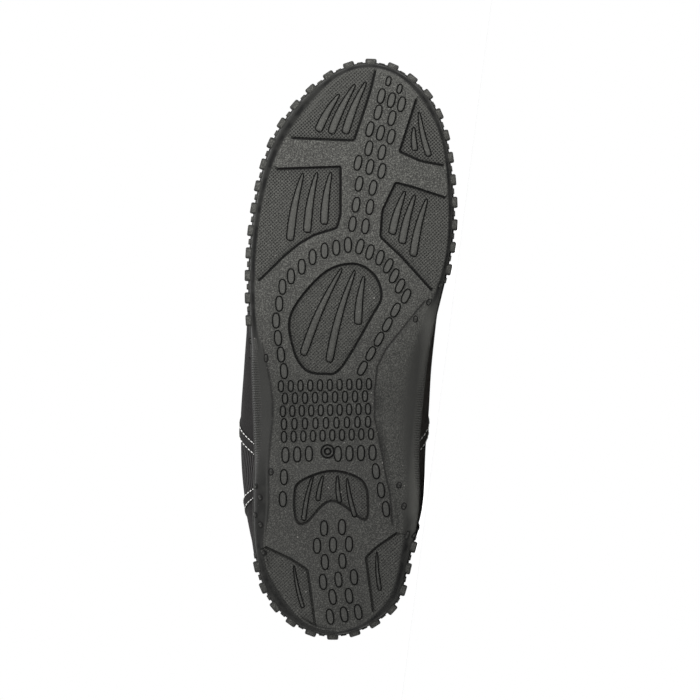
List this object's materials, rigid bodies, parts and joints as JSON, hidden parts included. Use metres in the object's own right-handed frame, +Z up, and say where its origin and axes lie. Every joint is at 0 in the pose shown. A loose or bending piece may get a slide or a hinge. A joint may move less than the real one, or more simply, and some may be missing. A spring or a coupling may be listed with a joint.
{
  "type": "water shoe",
  "caption": "Slip-on water shoe for the right foot, lying on its inner side: moulded rubber cup sole with ovals and finned panels, hollow stretch upper with side gores, foam footbed.",
  "frame": {"origin": "middle of the bounding box's bottom, on the floor under the shoe as it lies on its inner side", "axes": "+X towards the toe, +Z up from the floor and towards the shoe's outer side; the sole faces -Y and the collar +Y"},
  "size_m": [0.2856, 0.085, 0.1023],
  "materials": {
    "moulded_rubber": "matte",
    "stretch_fabric": "matte",
    "foam": "matte"
  },
  "bodies": {
    "root": {"outsole": "moulded_rubber", "upper": "stretch_fabric", "insole": "foam"}
  },
  "joints": []
}
